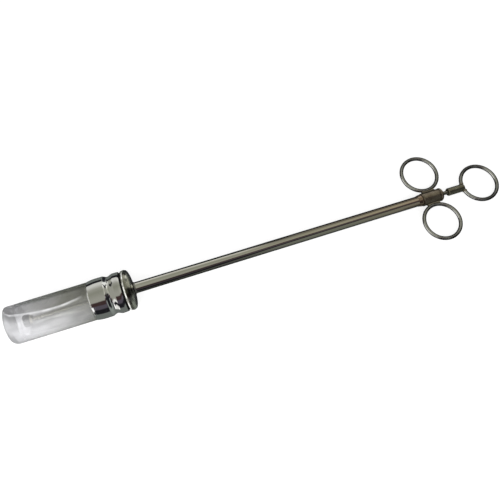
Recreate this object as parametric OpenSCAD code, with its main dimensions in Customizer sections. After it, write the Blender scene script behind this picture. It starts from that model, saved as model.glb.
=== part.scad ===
// Bolus applicator (balling gun): a soft pocket head on a long barrel, with a three-ring plunger.
// Frame, in millimetres: origin at the centre of the head's mouth, +X back along the barrel towards
// the thumb ring, the three rings lie in the XY plane, +Z up. The plunger stands as at rest, pushed
// nearly home.

/* [Head] */
// Length of the soft head in front of the ferrule
head_len = 69.1; // [55:0.1:90]
// Outside diameter of the head at its mouth
head_d = 33.2; // [32:0.1:33.6]
// Diameter of the pocket that holds the bolus
pocket_d = 29.2; // [28.6:0.1:30]
// Diameter of the narrower land at the mouth, which keeps a bolus from falling out
mouth_d = 28; // [26:0.1:28.4]

/* [Ferrule and end cap] */
// Length of the spun ferrule
ferrule_len = 27.6; // [27:0.1:32]
// Largest diameter of the ferrule
ferrule_d = 35.9; // [35.6:0.1:36.4]
// Depth of the groove rolled into the ferrule
groove_depth = 1.5; // [0.8:0.05:1.8]
// Largest diameter of the end cap
cap_d = 36.2; // [35:0.1:37]
// Axial length of the end cap behind the gasket
cap_len = 8.1; // [7.5:0.1:12]
// Thread pitch of the end cap's boss
thread_pitch = 1.25; // [1:0.25:1.5]

/* [Barrel] */
// Outside diameter of the barrel tube
barrel_d = 10; // [9.6:0.1:10.4]
// Wall of the barrel tube
barrel_wall = 0.6; // [0.5:0.05:0.8]
// Distance from the end cap's back to the centres of the finger rings
barrel_run = 294.8; // [180:0.1:420]

/* [Handle] */
// Outside diameter of the finger-ring collar
collar_d = 12.8; // [12.4:0.1:13.4]
// Inside diameter of each finger ring
ring_id = 32.1; // [28:0.1:36]
// Inside diameter of the thumb ring
thumb_ring_id = 33.2; // [28:0.1:36]
// Diameter of the wire the rings are bent from
wire_d = 3.6; // [3:0.1:4]
// Distance from the finger rings' centres to the thumb ring's centre at rest
thumb_gap = 54.4; // [50:0.1:62]

/* [Plunger] */
// Diameter of the plunger rod
rod_d = 3.8; // [3.2:0.1:4]
// Diameter of the button that pushes the bolus
button_d = 11; // [9:0.5:14]
// Depth of the button's face inside the mouth at rest
button_depth = 11; // [10:0.5:20]
// Diameter of the thumb ring's socket
socket_d = 7.6; // [7:0.1:8.4]

/* [Hidden] */

round_fn = 180;     // segments in a large full turn
wire_fn = 72;       // segments round a wire, a pin or a small hollow
press_gap = 0.02;   // radial gap between pieces that are soldered, brazed or pressed together
run_gap = 0.06;     // radial gap between the sliding rod and its guides
overlap = 0.5;      // how far a cutting shape runs past the face it cuts

// Radii
barrel_r = barrel_d / 2;
bore_r = barrel_r - barrel_wall;
rod_r = rod_d / 2;
head_r = head_d / 2;
head_root_r = head_r + 0.3;
pocket_r = pocket_d / 2;
mouth_r = mouth_d / 2;
ferrule_r = ferrule_d / 2;
ferrule_wall = 0.7;
cap_r = cap_d / 2;
collar_r = collar_d / 2;
wire_r = wire_d / 2;
ring_r = (ring_id + wire_d) / 2;
thumb_r = (thumb_ring_id + wire_d) / 2;
socket_r = socket_d / 2;
button_r = button_d / 2;
boss_r = 11;
backing_r = 13.8;
backing_wall = 1.2;
ring_offset = ring_r + wire_r + collar_r + 0.1; // barrel axis to a finger ring's centre
ring_gap = ring_offset - ring_r - collar_r + 1; // from inside the collar to the wire's centre line

// Stations along the barrel
gasket_t = 1.5;
x_lip = head_len;
x_gasket = x_lip + ferrule_len;
x_cap = x_gasket + gasket_t;
boss_len = 6 * thread_pitch + 0.4;
x_boss = x_cap - boss_len;
x_cap_back = x_cap + cap_len;
x_rings = x_cap_back + barrel_run;
thimble_len = 4.6;
x_collar = x_rings - 10.5;
collar_len = 17.6;
x_collar_back = x_collar + collar_len;
neck_len = 1.5;
gland_head_len = 2.6;
x_gland_back = x_collar_back + neck_len + gland_head_len;
x_thumb = x_rings + thumb_gap;
socket_len = 17.85;
x_socket_back = x_thumb - thumb_r + 0.3;
x_socket = x_socket_back - socket_len;
button_len = 5.5;
x_button_back = button_depth + button_len;

// ---- Shapes that several pieces share ----

// A turned piece: profile is a list of [radius, x] points.
module turned(profile) {
    rotate([0, 90, 0])
        rotate_extrude($fn = round_fn)
            polygon(profile);
}

// A plain sleeve or rod from x0 to x1.
module sleeve(outer, inner, x0, x1) {
    turned([[inner, x0], [outer, x0], [outer, x1], [inner, x1]]);
}

// Points on a quarter round, from direction a0 to a1 in degrees, where 0 points outwards and 90
// points towards +X. A stretch above 1 draws it out along X.
function quarter(radius, x, size, a0, a1, stretch = 1, steps = 6) =
    [for (i = [0:steps]) let (a = a0 + (a1 - a0) * i / steps)
        [radius + size * cos(a), x + stretch * size * sin(a)]];

// A ring bent from round wire, centred on [x, y, 0] in the XY plane. Its radius is its centre line's.
module wire_ring(x, y, radius, wire = wire_r) {
    translate([x, y, 0])
        rotate_extrude($fn = round_fn)
            translate([radius, 0])
                circle(r = wire, $fn = wire_fn);
}

// ---- Head ----

// Outer radius of the ferrule at a distance u behind its lip: a front band that swells behind the
// lip, a soft groove rolled in after it, and a short rear band that falls away to its back edge.
lip_drop = 0.85;     // how much smaller the lip is than the largest diameter
lip_swell = 8;       // length over which the front band swells
groove_u = 17.8;     // deepest point of the groove
groove_front = 4.6;  // how far the groove reaches towards the lip
groove_rear = 4.8;   // how far it reaches towards the back edge
back_drop = 0.25;    // how much smaller the back edge is
back_fall = 4;       // length over which the rear band falls
function front_swell(u) = ferrule_r - lip_drop * (1 - sin(90 * min(u / lip_swell, 1)));
function groove_share(u) = min(abs(u - groove_u) / (u < groove_u ? groove_front : groove_rear), 1);
function groove(u) = groove_depth * (1 + cos(180 * groove_share(u))) / 2;
function back_shrink(u) = back_drop * pow(max(1 - (ferrule_len - u) / back_fall, 0), 2);
function ferrule_outer(u) = front_swell(u) - groove(u) - back_shrink(u);
function ferrule_inner(u) = ferrule_outer(u) - ferrule_wall;

// Stations along the ferrule, which the pieces inside it share so that they fit it all the way.
ferrule_steps = 44;
skirt_steps = 32;
insert_first = 33;
insert_last = 43;
function station(i) = ferrule_len * i / ferrule_steps;
skirt_len = station(skirt_steps);

// The soft head: an open cup with a rounded mouth, a bolus pocket and a skirt under the ferrule.
module head() {
    mouth_round = 2;
    mouth_stretch = 1.5;
    land_len = 7;
    pocket_end = x_lip - 1;
    outside = concat(
        quarter(head_r - mouth_round, mouth_stretch * mouth_round, mouth_round, -90, 0, mouth_stretch),
        [[head_root_r, x_lip - 0.05], [ferrule_inner(0) - press_gap, x_lip - 0.05]],
        [for (i = [0:skirt_steps]) let (u = station(i)) [ferrule_inner(u) - press_gap, x_lip + u]]
    );
    inside = [
        [backing_r + press_gap, x_lip + skirt_len],
        [backing_r + press_gap, x_lip + 1.5],
        [pocket_r, pocket_end],
        [pocket_r, land_len + 2.2],
        [mouth_r, land_len],
        [mouth_r, 0]
    ];
    color([0.86, 0.87, 0.88, 0.7]) turned(concat(outside, inside));
}

// The chromed ferrule, spun from thin tube and rolled down on to the head's skirt.
module ferrule() {
    lip_round = 0.5;
    outside = concat(
        quarter(ferrule_outer(0) - lip_round, x_lip + lip_round, lip_round, -90, 0),
        [for (i = [1:ferrule_steps]) let (u = station(i)) [ferrule_outer(u), x_lip + u]]
    );
    inside = [for (i = [ferrule_steps:-1:0]) let (u = station(i)) [ferrule_inner(u), x_lip + u]];
    color([0.80, 0.81, 0.83]) turned(concat(outside, inside));
}

// The ring soldered into the ferrule's back band, which screws on to the end cap's boss.
module threaded_insert() {
    outside = [for (i = [insert_first:insert_last]) let (u = station(i))
        [ferrule_inner(u) - press_gap, x_lip + u]];
    bore = boss_r + run_gap;
    color([0.72, 0.58, 0.30])
        turned(concat(
            outside,
            [[bore, x_lip + station(insert_last)], [bore, x_lip + station(insert_first)]]
        ));
}

// The stiff ring inside the head's skirt, which backs it up against the rolled groove.
module backing_ring() {
    edge = 0.3;
    x0 = x_lip + 1.8;
    x1 = x_lip + skirt_len;
    inner = backing_r - backing_wall;
    color([0.70, 0.68, 0.62]) turned([
        [inner, x0 + edge], [inner + edge, x0], [backing_r - edge, x0], [backing_r, x0 + edge],
        [backing_r, x1], [inner, x1]
    ]);
}

// ---- End cap and gasket ----

// The black washer pinched between the ferrule and the end cap.
module cap_gasket() {
    inset = 1.3;        // how far its edge sits inside the ferrule's
    color([0.05, 0.05, 0.05])
        sleeve(ferrule_r - inset, boss_r + 0.3, x_gasket + press_gap, x_cap - press_gap);
}

dome_power = 2.5;    // how square-shouldered the domed back is; 2 is an ellipse
function dome_x(share) = pow(1 - pow(share, dome_power), 1 / dome_power);

// The end cap: a rounded rim, a domed back and a threaded boss that the head screws on to.
module end_cap() {
    bore = barrel_r + press_gap;
    rim_len = 3.6;      // from the cap's front face to its largest diameter
    rim_drop = 1.1;     // how much smaller the front face is
    rim = quarter(cap_r - rim_drop, x_cap + rim_len, rim_drop, -90, 0, rim_len / rim_drop, 10);
    dome_len = cap_len - rim_len;
    dome_steps = 16;
    dome = [for (i = [1:dome_steps]) let (share = 1 - (1 - bore / cap_r) * i / dome_steps)
        [cap_r * share, x_cap + rim_len + dome_len * dome_x(share)]];
    // Ridges that stand in for the helical thread.
    ridges = [for (i = [0:5], side = [0, 1]) let (x = x_boss + 0.6 + i * thread_pitch)
        side == 0 ? [boss_r, x + 0.2] : [boss_r - 0.6, x + 0.2 + thread_pitch / 2]];
    color([0.55, 0.54, 0.48]) turned(concat(
        [[bore, x_boss], [boss_r - 0.6, x_boss]],
        ridges,
        [[boss_r - 0.6, x_cap]],
        rim,
        dome
    ));
}

// The solder fillet where the barrel leaves the end cap.
module cap_solder() {
    size = 1.4;
    inner = barrel_r + press_gap;
    x0 = x_cap_back + 0.05;
    curve = [for (i = [0:6]) let (a = 90 * i / 6)
        [inner + size * (1 - sin(a)), x0 + size * (1 - cos(a))]];
    color([0.50, 0.49, 0.45]) turned(concat([[inner, x0]], curve));
}

// ---- Barrel ----

module barrel_tube() {
    color([0.62, 0.61, 0.56]) sleeve(barrel_r, bore_r, x_boss, x_collar_back - 0.1);
}

// The bush that guides the rod at the front end of the barrel; the lock nut stops against it.
flange_t = 1.1;
x_flange = x_boss - flange_t;
module front_guide_bush() {
    shank_len = 10;
    bore = rod_r + run_gap;
    shank = bore_r - press_gap;
    color([0.72, 0.58, 0.30]) turned([
        [bore, x_flange], [barrel_r + 0.4, x_flange], [barrel_r + 0.6, x_flange + 0.2],
        [barrel_r + 0.6, x_boss - press_gap], [shank, x_boss - press_gap],
        [shank, x_boss + shank_len], [bore, x_boss + shank_len]
    ]);
}

// The flared sleeve that stiffens the barrel just in front of the collar.
module barrel_thimble() {
    inner = barrel_r + press_gap;
    thimble_r = collar_r - 0.6;
    taper = 3.2;
    clearance = 0.7;    // open gap between its back edge and the collar
    x0 = x_collar - thimble_len;
    x1 = x_collar - clearance;
    color([0.48, 0.40, 0.32]) turned([
        [inner, x0], [inner + 0.12, x0], [thimble_r, x0 + taper], [thimble_r, x1 - 0.2],
        [thimble_r - 0.2, x1], [inner, x1]
    ]);
}

// ---- Handle ----

module collar() {
    inner = barrel_r + press_gap;
    color([0.47, 0.44, 0.38]) turned([
        [inner, x_collar], [collar_r - 0.4, x_collar], [collar_r, x_collar + 1.1],
        [collar_r, x_collar_back - 0.5], [collar_r - 0.4, x_collar_back], [inner, x_collar_back]
    ]);
}

module finger_ring_left() {
    color([0.50, 0.50, 0.46]) wire_ring(x_rings, ring_offset, ring_r);
}

module finger_ring_right() {
    color([0.50, 0.50, 0.46]) wire_ring(x_rings, -ring_offset, ring_r);
}

// The webs of braze metal between the collar and the two finger rings.
module finger_ring_brazes() {
    web_half = 7;       // half the web's length along the collar
    web_t = 2.8;        // thickness of the web across the rings' plane
    bite = 1.3;         // radius of the hollow at each end of the web
    color([0.46, 0.43, 0.36])
        for (side = [-1, 1])
            translate([x_rings, 0, 0])
                difference() {
                    linear_extrude(height = web_t, center = true)
                        difference() {
                            translate([-web_half, side > 0 ? collar_r - 1 : 1 - ring_gap - collar_r])
                                square([2 * web_half, ring_gap]);
                            for (end = [-1, 1])
                                translate([end * (web_half + 0.5), side * (collar_r + 1)])
                                    circle(r = bite, $fn = wire_fn);
                        }
                    wire_ring(0, side * ring_offset, ring_r, wire_r + press_gap);
                    rotate([0, 90, 0])
                        cylinder(r = collar_r + press_gap, h = 4 * web_half, center = true, $fn = round_fn);
                }
}

// The gland nut closes the back of the barrel and squeezes the packing on to the rod.
gland_spigot = 6.6;
module gland_nut() {
    head_r_gland = collar_r + 0.1;
    edge = 1.4;
    bore = rod_r + 0.15;
    spigot_r = bore_r - press_gap;
    x_head = x_collar_back + neck_len;
    color([0.50, 0.48, 0.43]) turned(concat(
        [[bore, x_collar_back - gland_spigot], [spigot_r, x_collar_back - gland_spigot],
         [spigot_r, x_collar_back + press_gap], [collar_r - 0.9, x_collar_back + press_gap],
         [collar_r - 0.9, x_head - 0.3], [head_r_gland - 0.3, x_head], [head_r_gland, x_head + 0.3]],
        quarter(head_r_gland - edge, x_gland_back - edge, edge, 0, 90),
        [[bore + 0.4, x_gland_back], [bore, x_gland_back - 0.4]]
    ));
}

// The packing and its washer sit inside the barrel, between the rear bush and the gland nut.
packing_gap = 0.04;   // radial gap between the packing and the rod
packing_wire = (bore_r - rod_r - packing_gap - run_gap) / 2;
x_washer = x_collar_back - gland_spigot - 0.9;
x_packing = x_washer - packing_wire - 0.1;
module packing_ring() {
    color([0.05, 0.05, 0.05])
        translate([x_packing, 0, 0])
            rotate([0, 90, 0])
                rotate_extrude($fn = round_fn)
                    translate([rod_r + packing_gap + packing_wire, 0])
                        circle(r = packing_wire, $fn = wire_fn);
}

module packing_washer() {
    color([0.72, 0.58, 0.30]) sleeve(bore_r - 0.1, rod_r + 0.2, x_washer, x_washer + 0.8);
}

module rear_guide_bush() {
    back = x_packing - packing_wire - 0.1;
    color([0.72, 0.58, 0.30]) sleeve(bore_r - press_gap, rod_r + run_gap, back - 10, back);
}

// ---- Plunger ----

rod_in_button = 4;
rod_in_socket = 11.2;
module plunger_rod() {
    tip = 0.4;
    x0 = x_button_back - rod_in_button;
    x1 = x_socket + rod_in_socket;
    color([0.66, 0.65, 0.60]) turned([
        [0, x0], [rod_r - tip, x0], [rod_r, x0 + tip], [rod_r, x1 - tip], [rod_r - tip, x1], [0, x1]
    ]);
}

// The domed button that bears on the bolus, screwed on to the rod's front end.
module plunger_button() {
    edge = 1.2;
    crown = 0.7;
    hole = rod_r + press_gap;
    x_hole = x_button_back - rod_in_button - 0.1;
    face = [for (i = [0:6]) let (share = i / 6)
        [(button_r - edge) * share, button_depth + crown * share * share]];
    color([0.30, 0.30, 0.32]) turned(concat(
        face,
        quarter(button_r - edge, button_depth + crown + edge, edge, -90, 0),
        [[button_r, x_button_back - 0.4], [button_r - 0.4, x_button_back],
         [hole, x_button_back], [hole, x_hole], [0, x_hole]]
    ));
}

// The hexagon nut that locks the button on the rod.
nut_flats = 7;
nut_len = 2.4;
module button_lock_nut() {
    x0 = x_button_back + 0.05;
    color([0.40, 0.40, 0.40])
        difference() {
            translate([x0, 0, 0]) rotate([0, 90, 0])
                cylinder(r = nut_flats / sqrt(3), h = nut_len, $fn = 6);
            translate([x0 - overlap, 0, 0]) rotate([0, 90, 0])
                cylinder(r = rod_r + press_gap, h = nut_len + 2 * overlap, $fn = round_fn);
        }
}

// The socket pinned to the rod's back end, notched to take the thumb ring.
x_pin = x_socket + 7.9;
pin_r = 0.8;
module thumb_socket() {
    edge = 1.1;
    hole = rod_r + press_gap;
    x_hole = x_socket + rod_in_socket + 0.1;
    color([0.52, 0.50, 0.42])
        difference() {
            turned(concat(
                [[hole, x_socket]],
                quarter(socket_r - edge, x_socket + edge, edge, -90, 0),
                [[socket_r, x_socket_back - 0.3], [socket_r - 0.3, x_socket_back],
                 [0, x_socket_back], [0, x_hole], [hole, x_hole]]
            ));
            wire_ring(x_thumb, 0, thumb_r, wire_r + press_gap);
            translate([x_pin, 0, 0])
                cylinder(r = pin_r + press_gap, h = 3 * socket_r, center = true, $fn = wire_fn);
        }
}

// The cross pin's two ends, on either side of the rod.
module socket_pin() {
    color([0.42, 0.41, 0.38])
        difference() {
            translate([x_pin, 0, 0])
                cylinder(r = pin_r, h = 2 * (socket_r + 0.05), center = true, $fn = wire_fn);
            translate([x_pin - 3 * pin_r, 0, 0]) rotate([0, 90, 0])
                cylinder(r = rod_r + press_gap, h = 6 * pin_r, $fn = round_fn);
        }
}

module thumb_ring() {
    color([0.50, 0.50, 0.46]) wire_ring(x_thumb, 0, thumb_r);
}

// The collars of braze metal where the thumb ring leaves its socket.
module thumb_ring_brazes() {
    braze_len = 0.8;
    color([0.46, 0.43, 0.36])
        for (side = [-1, 1])
            difference() {
                translate([x_thumb - thumb_r + 0.4, side * (socket_r - 0.6), 0])
                    rotate([side * -90, 0, 0])
                        cylinder(r1 = wire_r + 0.6, r2 = wire_r + 0.15, h = braze_len + 0.6, $fn = wire_fn);
                wire_ring(x_thumb, 0, thumb_r, wire_r + press_gap);
                translate([x_socket, 0, 0]) rotate([0, 90, 0])
                    cylinder(r = socket_r + press_gap, h = 2 * socket_len, $fn = round_fn);
            }
}

head();
ferrule();
threaded_insert();
backing_ring();
cap_gasket();
end_cap();
cap_solder();
barrel_tube();
front_guide_bush();
barrel_thimble();
collar();
finger_ring_left();
finger_ring_right();
finger_ring_brazes();
gland_nut();
rear_guide_bush();
packing_ring();
packing_washer();
plunger_rod();
plunger_button();
button_lock_nut();
thumb_socket();
socket_pin();
thumb_ring();
thumb_ring_brazes();
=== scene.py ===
"""Looks of the bolus applicator: the frosted head, every surface's material, the light and the camera."""
import math

import bpy
from mathutils import Matrix, Vector

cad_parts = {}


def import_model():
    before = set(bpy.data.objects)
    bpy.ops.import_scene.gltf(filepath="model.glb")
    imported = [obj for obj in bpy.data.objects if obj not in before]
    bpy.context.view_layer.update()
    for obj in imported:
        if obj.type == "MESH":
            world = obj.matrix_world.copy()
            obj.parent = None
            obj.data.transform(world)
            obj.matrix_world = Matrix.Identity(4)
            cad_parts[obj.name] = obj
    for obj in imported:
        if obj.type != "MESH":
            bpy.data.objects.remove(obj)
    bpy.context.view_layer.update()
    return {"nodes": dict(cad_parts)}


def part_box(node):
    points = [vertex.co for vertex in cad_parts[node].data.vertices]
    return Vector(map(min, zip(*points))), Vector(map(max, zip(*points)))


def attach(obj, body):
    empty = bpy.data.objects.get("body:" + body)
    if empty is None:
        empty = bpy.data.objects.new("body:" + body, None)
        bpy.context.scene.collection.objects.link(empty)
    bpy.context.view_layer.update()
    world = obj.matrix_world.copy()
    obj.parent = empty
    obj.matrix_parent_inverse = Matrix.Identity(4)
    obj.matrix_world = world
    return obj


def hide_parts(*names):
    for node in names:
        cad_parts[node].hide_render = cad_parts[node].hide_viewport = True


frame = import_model()

MM = 0.001
BLACK = (0, 0, 0)


# ---- Where things are, from the frame ----

def span(node, axis=0):
    """Lowest and highest place of a CAD node along one axis."""
    low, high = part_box(node)
    return low[axis], high[axis]


head_x0, head_x1 = span("head")
ferrule_x0, ferrule_x1 = span("ferrule")
gasket_x1 = span("cap_gasket")[1]
cap_x1 = span("end_cap")[1]
cap_r = span("end_cap", 1)[1]
collar_x0 = span("collar")[0]
gland_x1 = span("gland_nut")[1]
gland_r = span("gland_nut", 1)[1]


# ---- Node graphs ----

class Graph:
    """A node tree with short calls that add a node, feed its inputs and hand back an output."""

    def __init__(self, tree):
        self.tree = tree
        tree.nodes.clear()

    def add(self, kind, inputs=None, **settings):
        node = self.tree.nodes.new("ShaderNode" + kind)
        for name, value in settings.items():
            setattr(node, name, value)
        for name, value in (inputs or {}).items():
            self.feed(node.inputs[name], value)
        return node

    def feed(self, socket, value):
        if isinstance(value, bpy.types.NodeSocket):
            self.tree.links.new(value, socket)
        elif isinstance(value, (tuple, list)) and len(value) == 3 and socket.type == "RGBA":
            socket.default_value = (*value, 1)
        else:
            socket.default_value = value

    def math(self, operation, *values, clamp=False):
        node = self.add("Math", operation=operation, use_clamp=clamp)
        for socket, value in zip(node.inputs, values):
            self.feed(socket, value)
        return node.outputs[0]

    def product(self, first, *others):
        for other in others:
            first = self.math("MULTIPLY", first, other)
        return first

    def remap(self, value, low, high, to_low=0.0, to_high=1.0, smooth=True):
        node = self.add("MapRange", interpolation_type="SMOOTHSTEP" if smooth else "LINEAR")
        for socket, given in zip(node.inputs, (value, low, high, to_low, to_high)):
            self.feed(socket, given)
        return node.outputs["Result"]

    def between(self, value, rise, fall):
        """1 inside a stretch of a value and 0 outside it. Each edge is given as (where 0, where 1)."""
        return self.product(self.remap(value, *rise), self.remap(value, *fall))

    def vary(self, noise, low, high):
        """Spreads a noise, nearly all of which lies between 0.3 and 0.7, over a range."""
        return self.remap(noise, 0.3, 0.7, low, high)

    def mix(self, factor, first, second):
        node = self.add("Mix", data_type="RGBA")
        for index, value in ((0, factor), (6, first), (7, second)):
            self.feed(node.inputs[index], value)
        return node.outputs[2]

    def noise(self, place, scale, detail=3.0, stretch=None):
        """Noise from 0 to 1. Scale is in features per metre, and stretch multiplies it on each axis."""
        if stretch:
            place = self.add("VectorMath", {0: place, 1: stretch}, operation="MULTIPLY").outputs[0]
        return self.add("TexNoise", {"Vector": place, "Scale": scale, "Detail": detail}).outputs["Fac"]

    def ramp(self, value, stops, mode="EASE"):
        node = self.add("ValToRGB", {0: value})
        node.color_ramp.interpolation = mode
        while len(node.color_ramp.elements) < len(stops):
            node.color_ramp.elements.new(0.5)
        for element, (place, colour) in zip(node.color_ramp.elements, stops):
            element.position = place
            element.color = (*colour, 1)
        return node.outputs["Color"]

    def bands(self, value, bands):
        """Colours side by side, each as (start, end, colour). They blend over the gaps between them."""
        stops = []
        for start, end, colour in bands:
            stops.append((start, colour))
            if end > start:
                stops.append((end, colour))
        return self.ramp(value, stops, mode="LINEAR")

    def place(self):
        """Position in the object's own frame, which is the row frame at rest, in metres."""
        return self.add("TexCoord").outputs["Object"]

    def split(self, vector):
        return self.add("SeparateXYZ", {0: vector}).outputs[:3]

    def angle(self, y, z):
        """Turn about the X axis: 0 straight up, and positive towards +Y."""
        return self.math("ARCTAN2", y, z)

    def bump(self, height, depth, strength=1.0):
        return self.add("Bump", {"Height": height, "Distance": depth, "Strength": strength}).outputs[0]

    def if_mirrored(self, plain, mirrored):
        """One shader for what is seen or lit directly, and another for what a polished surface mirrors."""
        glossy = self.add("LightPath").outputs["Is Glossy Ray"]
        both = self.add("MixShader", {0: glossy, 1: plain.outputs[0], 2: mirrored.outputs[0]})
        return both.outputs[0]


def new_material(name):
    material = bpy.data.materials.new(name)
    material.use_nodes = True
    graph = Graph(material.node_tree)
    return material, graph


def finish_material(graph, shader):
    graph.add("OutputMaterial", {"Surface": shader})


def finish_surface(graph, settings):
    """Ends a material with one Principled shader."""
    finish_material(graph, graph.add("BsdfPrincipled", settings).outputs[0])


def dress(material, *names):
    """Gives a material to CAD nodes."""
    for name in names:
        mesh = frame["nodes"][name].data
        mesh.materials.clear()
        mesh.materials.append(material)


# ---- Metals ----

def painted_edge_shade(g, strength, start=0.25, end=0.75):
    """How dark a rounded metal's edges look, as painted shade: 0 where it faces the viewer, up to strength
    at its outline.
    """
    facing = g.add("LayerWeight", {"Blend": 0.5}).outputs["Facing"]
    return g.remap(facing, start, end, 0, strength)


def metal(name, colour, stain, roughness, stain_scale=90, edge=(0.85, 0.25, 0.75), metallic=1.0):
    """A worked metal: stained in patches, uneven in polish, with fine tool marks, and with painted shade
    that darkens its edges.
    """
    material, g = new_material(name)
    place = g.place()
    patches = g.noise(place, stain_scale, 4)
    marks = g.noise(place, 900, 2)
    in_the_marks = tuple(0.5 * c for c in colour)
    at_the_edge = tuple(0.06 * c for c in colour)
    base = g.mix(g.remap(patches, 0.35, 0.7), colour, stain)
    base = g.mix(g.vary(marks, 0, 0.3), base, in_the_marks)
    # painted shade: the colour darkens towards the outline as the surface turns from the viewer
    base = g.mix(painted_edge_shade(g, *edge), base, at_the_edge)
    finish_surface(g, {
        "Base Color": base,
        "Metallic": metallic,
        "Roughness": g.math("ADD", g.vary(marks, -0.05, 0.06), roughness),
        "Normal": g.bump(marks, 0.01 * MM, 0.6),
    })
    return material


def chrome():
    """Bright plate over spun metal: nearly a mirror, with shallow waves left by the spinning."""
    material, g = new_material("chrome_plate")
    place = g.place()
    plate, outline = (0.86, 0.86, 0.84), (0.1, 0.1, 0.1)
    waves = g.noise(place, 120, 1.5, (1.6, 1, 1))
    haze = g.noise(place, 700, 3)
    finish_surface(g, {
        # painted shade: the plate darkens towards its outline
        "Base Color": g.mix(painted_edge_shade(g, 0.8, 0.7, 0.95), plate, outline),
        "Metallic": 1.0,
        "Roughness": g.remap(haze, 0.3, 0.75, 0.03, 0.08),
        "Normal": g.bump(waves, 0.25 * MM, 0.35),
    })
    return material


def dull_plate():
    """The end cap's plate: a painted glint, a near-white band that is less metallic than the rest, along
    the front of its rim, and dull and grainy behind, with painted shade, a dark patch, on the right."""
    material, g = new_material("dull_plate")
    place = g.place()
    plate, stained, grimy = (0.56, 0.56, 0.47), (0.36, 0.35, 0.28), (0.16, 0.15, 0.12)
    back_plate, bright = (0.90, 0.90, 0.80), (0.95, 0.95, 0.92)
    painted_dark_colour, outline = (0.03, 0.025, 0.02), (0.03, 0.03, 0.03)
    x, y, z = g.split(place)
    lean_back_on_left = -0.07
    depth = g.math("SUBTRACT", x, gasket_x1)
    depth = g.math("MULTIPLY_ADD", g.math("MAXIMUM", y, 0.0), lean_back_on_left, depth)
    patches = g.noise(place, 260, 4)
    grain = g.noise(place, 900, 3)
    base = g.mix(g.remap(patches, 0.35, 0.7), plate, stained)
    base = g.mix(g.remap(grain, 0.35, 0.65, 0, 0.5), base, grimy)
    base = g.mix(g.remap(depth, 3 * MM, 5 * MM, 0, 0.6), base, back_plate)
    # painted shade: a dark patch on the right of the cap, behind the painted glint
    near_the_top = [math.radians(a) for a in (-9, -15)]
    down_the_side = [math.radians(a) for a in (-44, -32)]
    painted_dark_patch = g.between(g.angle(y, z), near_the_top, down_the_side)
    painted_dark_patch = g.product(painted_dark_patch, g.remap(depth, 1.5 * MM, 2.2 * MM, 0, 0.85))
    base = g.mix(painted_dark_patch, base, painted_dark_colour)
    # painted shade: the plate darkens towards its outline
    base = g.mix(painted_edge_shade(g, 0.8, 0.8, 0.97), base, outline)
    # painted highlight: a near-white, less metallic band along the front of the rim stands for a glint,
    # leaning back on the left
    painted_glint = g.between(depth, (0.2 * MM, 0.6 * MM), (1.7 * MM, 1.1 * MM))
    painted_glint = g.product(painted_glint, g.remap(patches, 0.35, 0.6, 0.4, 1.0))
    base = g.mix(painted_glint, base, bright)
    finish_surface(g, {
        "Base Color": base,
        "Metallic": g.remap(painted_glint, 0, 1, 1.0, 0.25),
        "Roughness": g.vary(grain, 0.16, 0.28),
        "Normal": g.bump(grain, 0.03 * MM, 0.6),
    })
    return material


def barrel_steel():
    """Drawn tube: satin and pale by the head, browner towards the collar where it was brazed, with painted
    shade, a dark brown band down one side that changes from right to left half way along."""
    material, g = new_material("barrel_steel")
    place = g.place()
    grime, outline = (0.2, 0.18, 0.15), (0.03, 0.03, 0.03)
    painted_shade_left, painted_shade_right = (0.06, 0.05, 0.03), (0.06, 0.05, 0.04)
    x, y, z = g.split(place)
    patches = g.noise(place, 60, 4, (0.25, 1, 1))
    draw_marks = g.noise(place, 1500, 2, (0.01, 1, 1))
    along = g.remap(x, cap_x1, collar_x0, 0, 1, smooth=False)
    along = g.math("ADD", along, g.vary(patches, -0.06, 0.06))
    tint = g.ramp(along, [
        (0.0, (0.98, 0.97, 0.90)),
        (0.3, (0.80, 0.78, 0.71)),
        (0.6, (0.62, 0.58, 0.48)),
        (0.85, (0.60, 0.51, 0.39)),
        (1.0, (0.56, 0.44, 0.34)),
    ])
    base = g.mix(g.vary(draw_marks, 0, 0.25), tint, grime)
    # painted shade: the tube darkens towards its outline
    base = g.mix(painted_edge_shade(g, 0.95, 0.22, 0.6), base, outline)
    # painted shade: a dark brown band down the right side by the head and down the left side towards the
    # collar
    angle = g.angle(y, z)
    left = g.remap(angle, math.radians(5), math.radians(15), 0, 0.75)
    right = g.remap(angle, math.radians(-26), math.radians(-34), 0, 0.55)
    half_way = (0.20, 0.25)
    base = g.mix(g.product(left, g.remap(x, *half_way)), base, painted_shade_left)
    base = g.mix(g.product(right, g.remap(x, *reversed(half_way))), base, painted_shade_right)
    finish_surface(g, {
        "Base Color": base,
        "Metallic": 1.0,
        "Roughness": g.vary(draw_marks, 0.05, 0.11),
        "Normal": g.bump(draw_marks, 0.01 * MM, 0.5),
    })
    return material


# ---- Rubber and plastic ----

def moulded(name, dark, light, grain_scale, roughness, specular=0.5):
    """A black moulded material with a fine grain. Roughness is a range."""
    material, g = new_material(name)
    grain = g.noise(g.place(), grain_scale, 3)
    finish_surface(g, {
        "Base Color": g.mix(grain, dark, light),
        "Roughness": g.vary(grain, *roughness),
        "Specular IOR Level": specular,
        "Normal": g.bump(grain, 0.02 * MM),
    })
    return material


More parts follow.
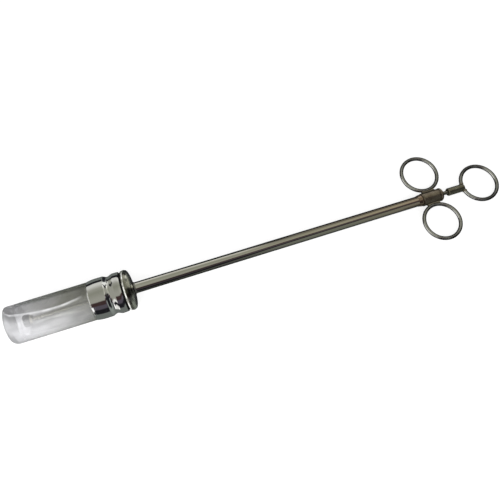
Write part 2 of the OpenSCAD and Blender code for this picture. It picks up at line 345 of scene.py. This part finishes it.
def painted_window_sheen(g):
    """The bright side of the room as a painted reflection on the head's satin skin: an emitted sheen,
    not a mirrored one. It hands back how strong it is, and where the skin lies on that side. It is a thin
    painted highlight along its edge with a paler body below, and the edge bows with the lean of the
    mirrored direction along the head."""
    x, y, z = g.split(g.add("TexCoord").outputs["Reflection"])
    turn = g.math("DIVIDE", g.angle(y, z), 2 * math.pi)
    edge_turn, bow_middle, bow_gain, bow_limit = 0.028, -0.238, 18.0, 0.2
    lean = g.math("SUBTRACT", x, bow_middle)
    bow = g.product(lean, lean, bow_gain)
    edge = g.math("ADD", g.math("MINIMUM", bow, bow_limit), edge_turn)
    below = g.math("SUBTRACT", edge, turn)
    place = g.place()
    along = g.split(place)[0]

    line_end = (0.067, 0.058)
    patchy = g.remap(g.noise(place, 90, 2), 0.35, 0.65, 0.28, 0.62)
    line = g.product(g.between(below, (-0.025, 0.0), (0.04, 0.0)), patchy, g.remap(along, *line_end))

    streaks = g.noise(place, 110, 2, (0.35, 1, 1))
    body = g.product(g.remap(below, 0.0, 0.04), g.remap(below, 0.62, 0.34, 0.25, 1.0))
    swell = g.product(g.remap(below, 0.03, 0.24, 0.08, 0.46), g.vary(streaks, 0.8, 1.25))
    fade = g.remap(along, 0.030, ferrule_x0, 1.15, 0.45, smooth=False)
    fade = g.product(fade, g.remap(along, 0.006, 0.016, 0.75, 1.0))
    strength = g.math("MULTIPLY_ADD", g.product(body, fade), swell, line)
    return strength, g.remap(below, -0.02, 0.02)


def frosted_plastic():
    """Soft translucent plastic: it scatters light in its wall and blurs what is behind it. It is cloudy at
    the mouth, and darker and yellower towards the ferrule. Its outside carries an emitted, painted
    reflection, and painted shade dims its wall where the skin mirrors the dark side of the room."""
    material, g = new_material("frosted_plastic")
    place = g.place()
    front, back, hazy = (0.86, 0.86, 0.87), (0.37, 0.375, 0.29), (0.70, 0.70, 0.71)
    at_mouth, milky = (0.74, 0.74, 0.75), (0.56, 0.56, 0.57)
    x = g.split(place)[0]
    haze = g.noise(place, 55, 3)
    ripple = g.noise(place, 70, 2, (0.6, 1, 1))
    grain = g.noise(place, 1600, 3)
    sheen, bright_side = painted_window_sheen(g)
    clear = g.mix(g.remap(x, head_x0, ferrule_x0), front, back)
    clear = g.mix(g.vary(haze, 0, 0.3), clear, hazy)
    clear = g.mix(g.remap(x, 0.016, 0.010), clear, at_mouth)
    # painted shade: the wall lets less light through where the skin mirrors the dark side of the room
    clear = g.mix(g.remap(bright_side, 0, 1, 0.16, 0.0), clear, BLACK)
    mouth = g.remap(x, 0.013, 0.007)
    cloud = g.mix(mouth, clear, milky)
    normal = g.bump(g.math("MULTIPLY_ADD", ripple, 6.0, grain), 0.02 * MM, 0.5)
    body = g.add("BsdfPrincipled", {
        "Base Color": clear,
        "Roughness": g.vary(grain, 0.10, 0.15),
        "IOR": 1.4,
        "Transmission Weight": 1.0,
        "Normal": normal,
    })
    milk = g.add("BsdfTranslucent", {"Color": cloud, "Normal": normal})
    matt = g.add("BsdfDiffuse", {"Color": cloud, "Normal": normal})
    scatter = g.add("MixShader", {0: 0.5, 1: matt.outputs[0], 2: milk.outputs[0]})
    cloudy = g.math("MULTIPLY_ADD", mouth, 0.3, 0.14)
    wall = g.add("MixShader", {0: cloudy, 1: body.outputs[0], 2: scatter.outputs[0]})
    outside = g.math("SUBTRACT", 1.0, g.add("NewGeometry").outputs["Backfacing"])
    # painted reflection: the sheen glows from the outside of the skin
    glow = g.add("Emission", {"Color": (0.97, 0.97, 1.0), "Strength": g.product(sheen, outside)})
    skin = g.add("AddShader", {0: wall.outputs[0], 1: glow.outputs[0]})
    finish_material(g, skin.outputs[0])
    return material


# ---- The soft head ----

LIP_R = 16.6 * MM            # outside by the mouth
ROOT_R = 16.9 * MM           # outside by the ferrule
MOUTH_R = 14.0 * MM          # the land inside the mouth
POCKET_R = 14.6 * MM
LAND_END = 7.0 * MM
POCKET_START = 9.2 * MM
INNER_LIP = 0.5 * MM
LIP_STRETCH = 1.6            # the lip's length against its height
WORN_SIDE = math.radians(198)
CORNER_GAP = 0.3 * MM        # a point this close to the shoulder keeps its corner crisp
LIP_GAP = 0.4 * MM           # and one this close keeps the lip's round end in its place

# The skirt, in the ferrule. Its depths are measured from the ferrule's lip.
SHOULDER_GAP = 0.1 * MM      # between the shoulder and the lip
SKIRT_R = 17.15 * MM
SKIRT_INSIDE_R = 13.85 * MM
SKIRT_START = 0.45 * MM
SKIRT_END_GAP = 0.15 * MM    # short of the CAD head's end
STEP_DEPTH = 0.85 * MM       # how much narrower it starts
STEP_LENGTH = 8.0 * MM       # the stretch over which it widens
TAPER_BACK = 1.6 * MM        # the taper between its inside and the pocket
TAPER_FRONT = -1.0 * MM
GROOVE_PLACE = 18.0 * MM
GROOVE_HALF = 6.0 * MM
GROOVE_DEPTH = 1.6 * MM


def lathe(name, profile_at, segments):
    """Turns a closed loop of profile points (x, radius), which may change with the angle, about X."""
    mesh = bpy.data.meshes.new(name)
    points = []
    for i in range(segments):
        angle = 2 * math.pi * i / segments
        profile = profile_at(angle)
        points += [(x, r * math.cos(angle), r * math.sin(angle)) for x, r in profile]
    count = len(profile)
    faces = []
    for i in range(segments):
        here, there = i * count, (i + 1) % segments * count
        for j in range(count):
            after = (j + 1) % count
            faces.append((here + j, there + j, there + after, here + after))
    mesh.from_pydata(points, [], faces)
    mesh.polygons.foreach_set("use_smooth", [True] * len(faces))
    mesh.update()
    piece = bpy.data.objects.new(name, mesh)
    bpy.context.scene.collection.objects.link(piece)
    return piece


def spread(first, last, steps):
    """Evenly spaced values, both ends included."""
    return [first + (last - first) * i / steps for i in range(steps + 1)]


def arc(x, r, size, start, end, stretch=1.0, steps=8):
    """Profile points round a corner's centre, in degrees: 0 points outwards and 90 towards +X."""
    turn = [math.radians(angle) for angle in spread(start, end, steps)]
    return [(x + stretch * size * math.sin(a), r + size * math.cos(a)) for a in turn]


def skirt_radius(depth):
    """Outside of the head's skirt at a depth behind the ferrule's lip: it follows the rolled groove."""
    step = STEP_DEPTH * (1 - math.sin(math.pi / 2 * min(depth / STEP_LENGTH, 1)))
    share = min(abs(depth - GROOVE_PLACE) / GROOVE_HALF, 1)
    groove = GROOVE_DEPTH * (1 + math.cos(math.pi * share)) / 2
    return SKIRT_R - step - groove


def head_profile(angle):
    """The cup's section at an angle round it, from the lip back over the outside and the skirt, and
    forwards inside it. Use has worn its lip rounder on one side."""
    lip = (1.9 + 1.1 * math.cos(angle - WORN_SIDE)) * MM
    profile = arc(head_x0 + LIP_STRETCH * lip, LIP_R - lip, lip, -90, 0, LIP_STRETCH)

    lip_end = profile[-1][0]
    shoulder = ferrule_x0 - SHOULDER_GAP
    outside = [lip_end + LIP_GAP] + spread(0, shoulder, 12)[1:-1] + [shoulder - CORNER_GAP, shoulder]
    profile += [(x, LIP_R + (ROOT_R - LIP_R) * x / shoulder) for x in outside]

    skirt_end = head_x1 - ferrule_x0 - SKIRT_END_GAP
    profile += [(ferrule_x0 + depth, skirt_radius(depth)) for depth in spread(SKIRT_START, skirt_end, 20)]
    profile += [(ferrule_x0 + depth, SKIRT_INSIDE_R) for depth in (skirt_end, TAPER_BACK)]

    profile += [(ferrule_x0 + TAPER_FRONT, POCKET_R)]
    profile += [(x, POCKET_R) for x in spread(ferrule_x0, 0, 10)[1:9]]
    profile += [(POCKET_START, POCKET_R), (LAND_END, MOUTH_R)]
    profile += arc(head_x0 + INNER_LIP, MOUTH_R + INNER_LIP, INNER_LIP, -180, -90, steps=4)
    return profile


def soft_head():
    """The frosted cup, with a full rounded lip and the pocket inside."""
    head = lathe("soft_head", head_profile, 128)
    head.data.materials.append(frosted_plastic())
    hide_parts("head")
    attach(head, "head_unit")


# ---- Surroundings, floor, light and camera ----

UNLIT = (0.012, 0.012, 0.015)
FLOOR_GLOOM = (0.15, 0.165, 0.155)
BLUE_WALL = (0.085, 0.075, 0.095)
RED_WALL = (0.05, 0.03, 0.03)
END_WALL = (0.40, 0.40, 0.34)
CEILING = (0.33, 0.33, 0.29)
CEILING_SHADE = (0.25, 0.255, 0.21)
LAMP_GLOW = (0.62, 0.62, 0.59)
LAMP = (0.85, 0.85, 0.83)
PANEL = (1.3, 1.3, 1.3)


def beside_the_barrel(g, x, share):
    """The room square to the barrel: dark walls, the ceiling and its lamp, and the dark gap past it. It
    closes in and brightens towards the thumb ring."""
    middle = 0.57
    towards_rings = g.math("MAXIMUM", x, 0.0)
    squeeze = g.math("MULTIPLY_ADD", towards_rings, 2.6, 1.0)
    narrowed = g.math("MULTIPLY_ADD", g.math("SUBTRACT", share, middle), squeeze, middle, clamp=True)
    room = g.bands(narrowed, [
        (0.00, 0.185, FLOOR_GLOOM), (0.20, 0.27, UNLIT), (0.29, 0.34, BLUE_WALL),
        (0.35, 0.40, RED_WALL), (0.415, 0.46, CEILING), (0.56, 0.56, CEILING_SHADE),
        (0.62, 0.62, CEILING), (0.68, 0.728, LAMP_GLOW), (0.733, 0.78, UNLIT),
        (0.79, 0.88, FLOOR_GLOOM), (0.92, 1.00, UNLIT),
    ])
    gain = g.math("MULTIPLY_ADD", towards_rings, 1.6, 1.0)
    return g.add("VectorMath", {0: room, "Scale": gain}, operation="SCALE").outputs[0]


def towards_the_rings(g, share):
    return g.bands(share, [
        (0.00, 0.17, FLOOR_GLOOM), (0.22, 0.49, UNLIT), (0.53, 0.61, CEILING), (0.63, 0.66, UNLIT),
        (0.68, 0.73, LAMP), (0.75, 0.80, UNLIT), (0.84, 1.00, FLOOR_GLOOM),
    ])


def at_the_rings_end(g, share):
    return g.bands(share, [
        (0.00, 0.00, FLOOR_GLOOM), (0.30, 0.37, BLUE_WALL), (0.40, 0.43, UNLIT),
        (0.46, 0.90, END_WALL), (1.00, 1.00, FLOOR_GLOOM),
    ])


def towards_the_mouth(g, share):
    return g.bands(share, [
        (0.00, 0.11, FLOOR_GLOOM), (0.14, 0.21, LAMP), (0.235, 0.28, UNLIT), (0.30, 0.33, LAMP),
        (0.36, 0.63, CEILING), (0.65, 0.68, UNLIT), (0.70, 0.76, CEILING), (0.78, 1.00, UNLIT),
    ])


def surroundings(g, direction):
    """What polished metal mirrors. The share is a turn about the barrel that starts straight down, rises
    on the viewer's side and is overhead at a half. The walls change with x, which is how far the
    direction leans along the barrel. A lamp hangs on the far side, and a bright panel closes the mouth's
    end, with a slanting slit of light in front of it."""
    x, y, z = g.split(direction)
    share = g.remap(g.angle(y, z), -math.pi, math.pi, 0, 1, smooth=False)
    room = g.mix(g.remap(x, 0.50, 0.56), beside_the_barrel(g, x, share), towards_the_rings(g, share))
    lamp = g.product(g.between(share, (0.665, 0.68), (0.74, 0.725)), g.remap(x, 0.22, 0.28))
    room = g.mix(lamp, room, LAMP)
    room = g.mix(g.remap(x, 0.70, 0.78), room, at_the_rings_end(g, share))
    room = g.mix(g.remap(x, -0.46, -0.52), room, towards_the_mouth(g, share))
    room = g.mix(g.remap(x, -0.86, -0.90), room, PANEL)
    slant = g.math("ADD", x, g.math("MULTIPLY_ADD", share, 0.35, 0.31))
    slit = g.product(g.remap(slant, 0.0, -0.015), g.remap(x, -0.50, -0.46))
    slit = g.product(slit, g.between(share, (0.13, 0.17), (0.35, 0.32)))
    return g.mix(slit, room, PANEL)


def world():
    """A soft white sky for light, with the surroundings where something mirrors them."""
    made = bpy.data.worlds.new("studio")
    made.use_nodes = True
    bpy.context.scene.world = made
    g = Graph(made.node_tree)
    light, extra_to_the_camera = 0.8, 0.25
    seen = g.add("LightPath").outputs["Is Camera Ray"]
    strength = g.math("MULTIPLY_ADD", seen, extra_to_the_camera, light)
    sky = g.add("Background", {"Color": (1, 1, 1), "Strength": strength})
    direction = g.add("TexCoord").outputs["Generated"]
    mirrored = g.add("Background", {"Color": surroundings(g, direction)})
    g.add("OutputWorld", {"Surface": g.if_mirrored(sky, mirrored)})


def floor_paint():
    """Pale paint that is partly lit from within, so that the floor stays as white as the sky. Metal
    mirrors the surroundings in its place."""
    material, g = new_material("floor_paint")
    grain = g.noise(g.place(), 40, 4)
    tint = g.mix(grain, (0.97, 0.97, 0.97), (0.99, 0.99, 0.99))
    matt = g.add("BsdfDiffuse", {"Color": tint})
    glow = g.add("Emission", {"Color": tint, "Strength": 1.12})
    paint = g.add("MixShader", {0: 0.7, 1: matt.outputs[0], 2: glow.outputs[0]})
    incoming = g.add("NewGeometry").outputs["Incoming"]
    away = g.add("VectorMath", {0: incoming, 1: (-1, -1, -1)}, operation="MULTIPLY").outputs[0]
    mirrored = g.add("Emission", {"Color": surroundings(g, away)})
    finish_material(g, g.if_mirrored(paint, mirrored))
    return material


def floor():
    """A floor that slopes to touch the end cap's rim and the back of the gland nut."""
    size, clearance = 6.0, 0.2 * MM
    bpy.ops.mesh.primitive_plane_add(size=size)
    ground = bpy.context.object
    ground.name = "floor"
    slope = math.atan2(cap_r - gland_r, gland_x1 - ferrule_x1)
    ground.rotation_euler = (0, -slope, 0)
    ground.location = (gland_x1, 0, -gland_r - clearance)
    ground.data.materials.append(floor_paint())


def softbox(name, place, aim, size, power):
    light = bpy.data.lights.new(name, "AREA")
    light.shape = "RECTANGLE"
    light.size, light.size_y = size
    light.energy = power
    lamp = bpy.data.objects.new(name, light)
    lamp.location = place
    lamp.rotation_euler = (Vector(aim) - Vector(place)).to_track_quat("-Z", "Y").to_euler()
    lamp.visible_glossy = False
    bpy.context.scene.collection.objects.link(lamp)


def camera():
    """Looks down on the instrument from its right, with the head low on the left and the rings high."""
    azimuth, elevation, roll = (math.radians(a) for a in (-28.57, 69.84, 10.1))
    distance = 0.445
    aim = Vector((0.2147, 0.0025, 0))
    back = Vector((
        math.sin(azimuth) * math.cos(elevation),
        -math.cos(azimuth) * math.cos(elevation),
        math.sin(elevation),
    ))
    data = bpy.data.cameras.new("camera")
    data.lens = 34.97
    data.clip_start = 0.01
    eye = bpy.data.objects.new("camera", data)
    bpy.context.scene.collection.objects.link(eye)
    turn = (-back).to_track_quat("-Z", "Y").to_matrix().to_4x4()
    eye.matrix_world = Matrix.Translation(aim + back * distance) @ turn @ Matrix.Rotation(roll, 4, "Z")
    bpy.context.scene.camera = eye


def dress_the_nodes():
    dress(chrome(), "ferrule")
    dress(dull_plate(), "end_cap")
    dress(barrel_steel(), "barrel_tube")
    dress(metal("solder", (0.45, 0.44, 0.40), (0.3, 0.3, 0.27), 0.5), "cap_solder")
    dress(metal("browned_steel", (0.46, 0.35, 0.26), (0.32, 0.22, 0.16), 0.14), "barrel_thimble")
    dress(metal("collar_steel", (0.34, 0.29, 0.22), (0.24, 0.19, 0.14), 0.38, stain_scale=200,
                edge=(0.9, 0.35, 0.8)), "collar", "gland_nut")
    # strong painted shade darkens each wire from near its middle out to its sides
    dress(metal("ring_wire", (0.80, 0.80, 0.76), (0.50, 0.49, 0.45), 0.24, edge=(0.98, 0.04, 0.3)),
          "finger_ring_left", "finger_ring_right", "thumb_ring")
    dress(metal("braze", (0.28, 0.25, 0.18), (0.20, 0.17, 0.12), 0.5, metallic=0.7),
          "finger_ring_brazes", "thumb_ring_brazes")
    dress(metal("socket_steel", (0.34, 0.32, 0.24), (0.24, 0.22, 0.16), 0.3), "thumb_socket")
    dress(metal("rod_steel", (0.42, 0.41, 0.35), (0.3, 0.28, 0.23), 0.25),
          "plunger_rod", "button_lock_nut", "socket_pin")
    dress(metal("brass", (0.70, 0.52, 0.25), (0.50, 0.36, 0.17), 0.3),
          "threaded_insert", "front_guide_bush", "rear_guide_bush", "packing_washer")
    dress(metal("tinned_steel", (0.62, 0.62, 0.58), (0.45, 0.45, 0.42), 0.35), "backing_ring")
    dress(moulded("black_rubber", (0.003, 0.003, 0.003), (0.008, 0.008, 0.008), 2500, (0.6, 0.8), 0.15),
          "cap_gasket", "packing_ring")
    dress(moulded("button_plastic", (0.01, 0.01, 0.014), (0.02, 0.02, 0.026), 1800, (0.3, 0.45)),
          "plunger_button")


soft_head()
dress_the_nodes()
world()
floor()
softbox("key", (0.0, -0.5, 0.8), (0.2, 0, 0), (0.9, 0.5), 6)
camera()
bpy.context.scene.view_settings.view_transform = "Standard"
